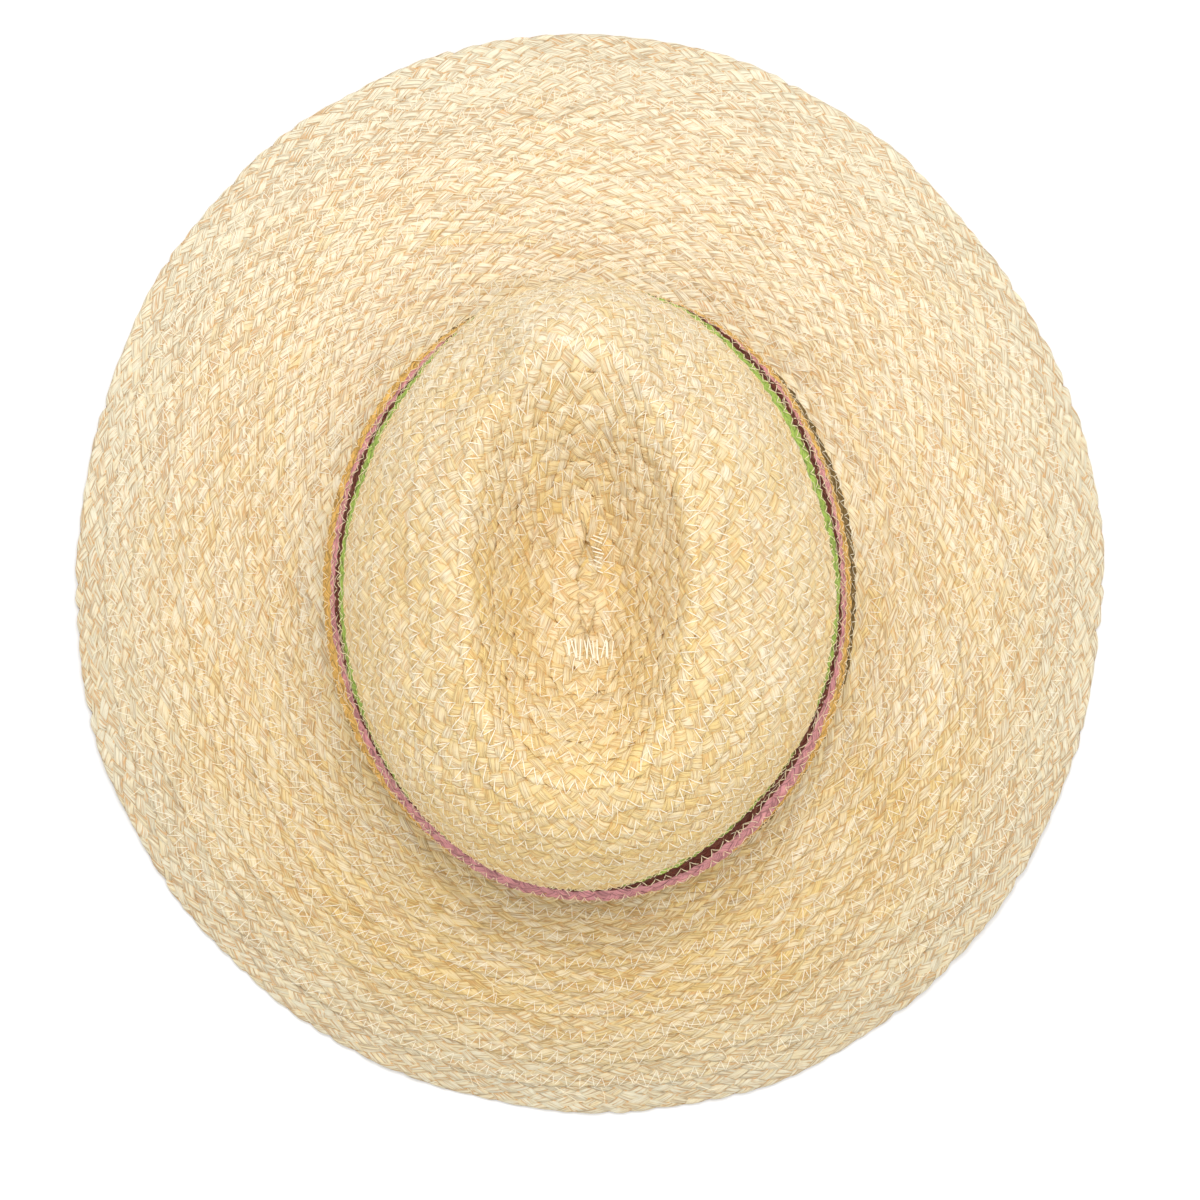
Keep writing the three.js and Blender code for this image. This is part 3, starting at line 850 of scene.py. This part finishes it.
def loose_ends(sizes, plait):
    """Fine straw ends that have worked loose: each leaves the plait at a slant, arches over it and
    bends a little, spread evenly over the hat."""
    rng = np.random.default_rng(ENDS_SEED)
    count = sizes.loose_ends
    row = EDGE_ROW * np.sqrt(rng.uniform(*END_AREA, count))[:, None]
    turn = rng.uniform(0, TAU, count)[:, None]
    along = np.linspace(0, 1, END_POINTS)[None]
    length = rng.uniform(*END_LENGTHS, count)[:, None]
    slant = (np.radians(rng.uniform(*END_SLANTS, count)) * rng.choice([-1, 1], count))[:, None]
    slant = slant + rng.normal(0, END_BEND, count)[:, None] * along
    radius = np.maximum(np.linalg.norm(on_wall(turn, row)[..., :2], axis=-1), END_NEAREST)
    turns = turn + length * along * np.cos(slant) / radius
    rows = row + length * along * np.sin(slant) / ROW_WIDTH
    rows = np.clip(rows, END_INSIDE[0], EDGE_ROW - END_INSIDE[1])
    arch = np.sin(np.pi * along) * rng.uniform(*END_ARCHES, count)[:, None]
    height = plait.ribbon_rise - plait.thickness + arch + billow(turns, rows)
    path = on_wall(turns, rows, height)
    return short_threads(path, on_wall(turns, rows, height + 1) - path, sizes.thread * END_THIN)


def place_over(x, y):
    """The turns and rows of the tip's grid points nearest to places seen from above."""
    tip = POINTS[:, :RIDGE_ROW * ROW_STEPS, :2]
    away = np.hypot(tip[..., 0] - x[..., None, None], tip[..., 1] - y[..., None, None])
    nearest = away.reshape(*x.shape, -1).argmin(-1)
    i, j = np.unravel_index(nearest, tip.shape[:2])
    return i * TAU / TURN_STEPS, j / ROW_STEPS


def core_tacks(sizes, plait):
    """Short close stitches that hold the middle of the tip: a row of them across the back end of the
    core, and a few over its front half, each a straight line from above."""
    rng = np.random.default_rng(TACKS_SEED)
    along = np.linspace(0, 1, TACK_POINTS)[None]
    ends = [np.stack([start + (stop - start) * np.linspace(0, 1, count)[:, None]
                      + rng.normal(0, TACK_STRAY, (count, 2)) for start, stop in np.array(lines)], 1)
            for count, lines in CORE_TACKS]
    ends = np.concatenate(ends)
    flat = ends[:, :1] + (ends[:, 1:] - ends[:, :1]) * along[..., None]
    turns, rows = place_over(flat[..., 0], flat[..., 1])
    height = plait.ribbon_rise - plait.thickness + TACK_LIFT
    normals = on_wall(turns, rows, height + 1) - on_wall(turns, rows, height)
    path = np.concatenate([flat, on_wall(turns, rows, height)[..., 2:]], -1)
    return short_threads(path, normals, sizes.thread * TACK_THICK)


def add_threads(name, made, material):
    """One piece made of threads, given as points, sides and end faces."""
    points, quads, ends = made
    points[:, 2] = np.maximum(points[:, 2], CLEAR_OF_FLOOR)
    return add_piece(name, mesh_of(name, points, quads, ends, smooth=False), material, [])


def add_stitches(name, seams, step, slant, material):
    """One piece made of the zigzags over several seams."""
    scene = bpy.context.scene
    made = [zigzag(seam, step, slant, scene.stitch_sizes, scene.plait_sizes, SEW_SEED + seam)
            for seam in seams]
    points, quads = zip(*made)
    quads = joined(quads, [len(each) for each in points])
    return add_threads(name, (np.concatenate(points), quads, NO_FACES), material)


class Nodes:
    """A short way to write a material's nodes."""

    def __init__(self, name):
        self.material = bpy.data.materials.new(name)
        self.material.use_nodes = True
        self.tree = self.material.node_tree
        self.shader = self.tree.nodes["Principled BSDF"]

    def add(self, kind, inputs=(), **settings):
        node = self.tree.nodes.new(kind)
        for key, value in settings.items():
            setattr(node, key, value)
        for key, value in dict(inputs).items():
            self.put(node, key, value)
        return node

    def put(self, node, key, value):
        if isinstance(value, bpy.types.NodeSocket):
            self.tree.links.new(value, node.inputs[key])
        else:
            node.inputs[key].default_value = value

    def attribute(self, name):
        return self.add("ShaderNodeAttribute", attribute_name=name).outputs["Fac"]

    def maths(self, operation, first, second=0.0, third=0.0):
        node = self.add("ShaderNodeMath", operation=operation)
        for index, value in enumerate((first, second, third)):
            self.put(node, index, value)
        return node.outputs[0]

    def mix(self, factor, first, second, blend="MIX"):
        node = self.add("ShaderNodeMix", data_type="RGBA", blend_type=blend)
        for index, value in ((0, factor), (6, first), (7, second)):
            self.put(node, index, value)
        return node.outputs[2]

    def noise(self, vector, scale, detail=2.0, roughness=0.5):
        node = self.add("ShaderNodeTexNoise", {
            "Vector": vector, "Scale": scale, "Detail": detail, "Roughness": roughness})
        return node.outputs["Fac"]

    def ramp(self, value, low, high, first, last):
        node = self.add("ShaderNodeMapRange", {
            "Value": value, "From Min": low, "From Max": high, "To Min": first, "To Max": last})
        return node.outputs[0]

    def stretched(self, vector, scale):
        return self.add("ShaderNodeMapping", {"Vector": vector, "Scale": scale}).outputs[0]


def straw_material(name, light, golden, crease_shade_and_veins, pale=None, ripe=0.0, veins=0.75, shine=0.5):
    """Raffia: ribbons from light to golden, with streaks along them, and fine lengthwise fibres that
    also make the relief and the broken gloss. Shade is painted into its colour: dark where two ribbons
    meet, more golden towards their edges and towards the back, and on the brim lighter at the front.
    The brim's outer turns are painted paler and greyer for the white surroundings that they reflect."""
    n = Nodes(name)
    strand = n.add("ShaderNodeUVMap", uv_map="strand").outputs[0]
    tone, rise = n.attribute("tone"), n.attribute("rise")
    streak = n.noise(n.stretched(strand, STREAK_STRETCH), 1.0, 1.5)
    fibre = n.noise(n.stretched(strand, FIBRE_STRETCH), 1.0, 3.0, 0.62)
    place = n.add("ShaderNodeTexCoord").outputs["Object"]
    patch = n.noise(place, PATCH_SCALE, 2.0)
    # From light to golden, by the ribbon's tone, its streaks, slow patches and the place on the hat.
    # The drift to golden at the back is partly the straw's own colour and mostly painted shade, as if
    # lit from the front.
    blend = n.maths("MULTIPLY_ADD", tone, 0.8, n.maths("MULTIPLY_ADD", streak, 0.9, -0.5))
    blend = n.maths("ADD", blend, n.maths("MULTIPLY_ADD", patch, 0.8, -0.4))
    back = n.add("ShaderNodeSeparateXYZ", {"Vector": place}).outputs["Y"]
    blend = n.maths("ADD", blend, n.ramp(back, FRONT_Y, BACK_Y, ripe - 0.45, ripe + 0.4))
    base = n.mix(blend, light, golden)
    # Painted warm shade: more golden towards a ribbon's edges, and more so at the back, where the
    # crown shades the brim
    edge = n.ramp(rise, 0.35, 0.85, 0.75, 0.0)
    edge = n.maths("MULTIPLY", edge, n.ramp(back, FRONT_Y, BACK_Y, 0.35, 1.0))
    base = n.mix(edge, base, golden)
    # Painted reflection: the brim's outer turns go paler and greyer for the white surroundings
    if pale is not None:
        share = n.maths("MULTIPLY", n.attribute("pale"), n.maths("SUBTRACT", 1.25, streak))
        base = n.mix(share, base, pale)
    # Fine dark veins where the streaks turn over, and dark lines between the fibres
    vein = n.ramp(n.maths("ABSOLUTE", n.maths("SUBTRACT", streak, 0.5)), 0.0, 0.04, veins, 0.0)
    line = n.maths("MAXIMUM", n.ramp(fibre, 0.36, 0.47, 0.5, 0.0), vein)
    base = n.mix(line, base, crease_shade_and_veins)
    # Lighter and darker by the fibres, and slowly from the front to the back. On the brim this drift is
    # painted shade, lighter at the front as if lit from there; on the crown it is a near-even darkening.
    fine = n.ramp(fibre, 0.35, 0.75, 0.9, 1.1)
    drift = PALE_DRIFT if pale is not None else DRIFT
    fine = n.maths("MULTIPLY", fine, n.ramp(back, *DRIFT_Y, *drift))
    shade = n.add("ShaderNodeCombineColor", {"Red": fine, "Green": fine, "Blue": fine}).outputs[0]
    base = n.mix(1.0, base, shade, "MULTIPLY")
    # Painted shade: dark in the crease where two ribbons meet, where the rise is low
    n.put(n.shader, "Base Color", n.mix(n.ramp(rise, 0.05, 0.42, 0.9, 0.0), base, crease_shade_and_veins))
    glossy = n.ramp(streak, 0.36, 0.46, 0.4, 1.0)
    n.put(n.shader, "Roughness", n.maths("MULTIPLY", glossy, n.ramp(fibre, 0.3, 0.7, 0.34, 0.72)))
    n.shader.inputs["Specular IOR Level"].default_value = shine
    height = n.maths("SUBTRACT", n.maths("MULTIPLY_ADD", streak, 1.2, fibre), vein)
    bump = n.add("ShaderNodeBump", {"Strength": 0.8, "Distance": 0.0005, "Height": height})
    n.put(n.shader, "Normal", bump.outputs[0])
    return n.material


def thread_material(name, value):
    """Cotton thread: matt, a little uneven along its length."""
    n = Nodes(name)
    place = n.add("ShaderNodeTexCoord").outputs["Object"]
    uneven = n.noise(place, THREAD_SCALE, 2.0)
    darker = (*(part * share for part, share in zip(value, THREAD_SHADE)), 1)
    n.put(n.shader, "Base Color", n.mix(uneven, value, darker))
    n.shader.inputs["Roughness"].default_value = THREAD_ROUGH
    return n.material


def tinted(value, factor):
    """A colour made lighter or darker."""
    return (*(min(1.0, c * factor) for c in value[:3]), 1.0)


def natural_material(pale=False):
    """The natural straw, made once: on the brim with its outer turns painted paler and greyer as a
    reflection of the white surroundings, on the crown riper.
    """
    colours = bpy.context.scene.straw_colours
    name = "straw_bleached" if pale else "straw_natural"
    found = bpy.data.materials.get(name)
    if found:
        return found
    shades = colours.light, colours.golden, colours.crease_shade_and_veins
    if pale:
        return straw_material(name, *shades, colours.pale)
    return straw_material(name, *shades, ripe=CROWN_RIPE, veins=CROWN_VEINS)


def thread():
    """The cream sewing thread, made once."""
    found = bpy.data.materials.get("sewing_thread")
    return found or thread_material("sewing_thread", bpy.context.scene.straw_colours.thread)


def band_thread():
    """The thread over the dyed turns: warmer than the other, as painted bounce light from the straw."""
    return thread_material("band_thread", bpy.context.scene.straw_colours.band_thread)


class FEDORA_OT_tip(bpy.types.Operator):
    """Plait the dented tip of the crown, from its middle out to the ridge."""

    bl_idname = "fedora.tip"
    bl_label = "Crown tip"

    def execute(self, context):
        add_plaits("tip_plait", range(RIDGE_ROW), context.scene.plait_sizes.tip_cell,
                   CROWN_DIAMONDS, natural_material(), ["crown_tip"])
        return {"FINISHED"}


class FEDORA_OT_side(bpy.types.Operator):
    """Plait the natural side of the crown, from the ridge down to the dyed turns."""

    bl_idname = "fedora.side"
    bl_label = "Crown side"

    def execute(self, context):
        add_plaits("side_plait", range(RIDGE_ROW, DYED_ROW), context.scene.plait_sizes.side_cell,
                   CROWN_DIAMONDS, natural_material(), ["crown_shoulder", "crown_wall"])
        return {"FINISHED"}


class FEDORA_OT_dyed(bpy.types.Operator):
    """Plait the five dyed turns at the foot of the crown."""

    bl_idname = "fedora.dyed"
    bl_label = "Dyed turns"

    def execute(self, context):
        colours = context.scene.straw_colours
        for place, node in enumerate(DYED_NAMES):
            value = getattr(colours, node)
            shades = [tinted(value, factor) for factor in DYED_SHADES]
            material = straw_material(node + "_straw", *shades, shine=DYED_SHINE)
            add_plaits(node + "_plait", [DYED_ROW + place], context.scene.plait_sizes.dyed_cell,
                       DYED_DIAMONDS, material, [node])
        return {"FINISHED"}


class FEDORA_OT_brim(bpy.types.Operator):
    """Plait the brim, its outer turns paler than its inner ones."""

    bl_idname = "fedora.brim"
    bl_label = "Brim"

    def execute(self, context):
        cell = context.scene.plait_sizes.brim_cell
        # How much of the paler, greyer edge colour, which is painted reflection, each turn takes
        pale = lambda row: float(np.clip((row - EDGE_ROW + PALE_FROM) / PALE_OVER, 0, 1))
        for name, first, last in BRIM_PIECES:
            add_plaits(name, range(BRIM_ROW + first, BRIM_ROW + last), cell, BRIM_DIAMONDS,
                       natural_material(True), ["brim"], pale)
        return {"FINISHED"}


class FEDORA_OT_stitches(bpy.types.Operator):
    """Sew a zigzag over every seam."""

    bl_idname = "fedora.stitches"
    bl_label = "Stitches"

    def execute(self, context):
        sizes = context.scene.stitch_sizes
        add_stitches("crown_stitches", range(1, DYED_ROW), sizes.crown_step, CROWN_SLANT, thread())
        add_stitches("dyed_stitches", range(DYED_ROW, BRIM_ROW), sizes.brim_step, CROWN_SLANT,
                     band_thread())
        add_stitches("brim_stitches", range(BRIM_ROW, EDGE_ROW), sizes.brim_step, BRIM_SLANT,
                     thread())
        add_threads("core_tacks", core_tacks(sizes, context.scene.plait_sizes), thread())
        return {"FINISHED"}


class FEDORA_OT_loose_ends(bpy.types.Operator):
    """Let fine straw ends stand out of the plait."""

    bl_idname = "fedora.loose_ends"
    bl_label = "Loose ends"

    def execute(self, context):
        scene = context.scene
        material = thread_material("loose_straw", scene.straw_colours.light)
        add_threads("loose_ends", loose_ends(scene.stitch_sizes, scene.plait_sizes), material)
        return {"FINISHED"}


def add_floor(value):
    """A level floor, well past the view."""
    n = Nodes("floor_paint")
    n.shader.inputs["Base Color"].default_value = value
    n.shader.inputs["Roughness"].default_value = 0.9
    corners = FLOOR_HALF * np.array([[-1, -1, 0], [1, -1, 0], [1, 1, 0], [-1, 1, 0]])
    mesh = mesh_of("floor", corners, np.array([[0, 1, 2, 3]]), NO_FACES)
    mesh.materials.append(n.material)
    floor = bpy.data.objects.new("floor", mesh)
    bpy.context.scene.collection.objects.link(floor)


def add_area_light(name, place, aim, size, power):
    """A round soft light that faces the aim."""
    data = bpy.data.lights.new(name, "AREA")
    data.shape, data.size, data.energy = "DISK", size, power
    lamp = bpy.data.objects.new(name, data)
    lamp.location = place
    way = Vector(aim) - Vector(place)
    lamp.rotation_mode = "QUATERNION"
    lamp.rotation_quaternion = way.to_track_quat("-Z", "Y")
    bpy.context.scene.collection.objects.link(lamp)


class FEDORA_OT_stage(bpy.types.Operator):
    """Make the floor, the soft lights and the camera straight above the hat."""

    bl_idname = "fedora.stage"
    bl_label = "Stage"

    def execute(self, context):
        scene, look = context.scene, context.scene.stage_look
        add_floor(look.floor)
        add_area_light("key_light", KEY_PLACE, LIGHT_AIM, KEY_SIZE, look.key)
        add_area_light("glint_light", GLINT_PLACE, LIGHT_AIM, GLINT_SIZE, look.glint)
        world = bpy.data.worlds.new("soft_room")
        world.use_nodes = True
        world.node_tree.nodes["Background"].inputs["Color"].default_value = (1, 1, 1, 1)
        world.node_tree.nodes["Background"].inputs["Strength"].default_value = look.fill
        scene.world = world
        scene.view_settings.view_transform = "Standard"
        data = bpy.data.cameras.new("camera")
        data.sensor_width = 36.0
        data.lens = data.sensor_width * look.distance / look.span
        data.clip_start, data.clip_end = 0.1, 20.0
        camera = bpy.data.objects.new("camera", data)
        camera.location = (CAMERA_X, CAMERA_Y, BRIM_LEVEL + look.distance)
        camera.rotation_euler = (0, 0, np.pi)
        scene.collection.objects.link(camera)
        scene.camera = camera
        return {"FINISHED"}


class FEDORA_PT_panel(bpy.types.Panel):
    """Lists the hat's pieces."""

    bl_idname = "FEDORA_PT_panel"
    bl_label = "Fedora"
    bl_space_type = "VIEW_3D"
    bl_region_type = "UI"
    bl_category = "Fedora"

    def draw(self, context):
        for step in STEPS:
            self.layout.operator(step.bl_idname)


STEPS = (FEDORA_OT_stage, FEDORA_OT_tip, FEDORA_OT_side, FEDORA_OT_dyed, FEDORA_OT_brim,
         FEDORA_OT_stitches, FEDORA_OT_loose_ends)
GROUPS = {"plait_sizes": PlaitSizes, "stitch_sizes": StitchSizes, "straw_colours": StrawColours,
          "stage_look": StageLook}


def register():
    for part in (*GROUPS.values(), *STEPS, FEDORA_PT_panel):
        bpy.utils.register_class(part)
    for name, group in GROUPS.items():
        setattr(bpy.types.Scene, name, bpy.props.PointerProperty(type=group))


def unregister():
    for name in GROUPS:
        delattr(bpy.types.Scene, name)
    for part in reversed((*GROUPS.values(), *STEPS, FEDORA_PT_panel)):
        bpy.utils.unregister_class(part)


def main():
    register()
    for step in STEPS:
        group, name = step.bl_idname.split(".")
        getattr(getattr(bpy.ops, group), name)()


if __name__ == "__main__":
    main()
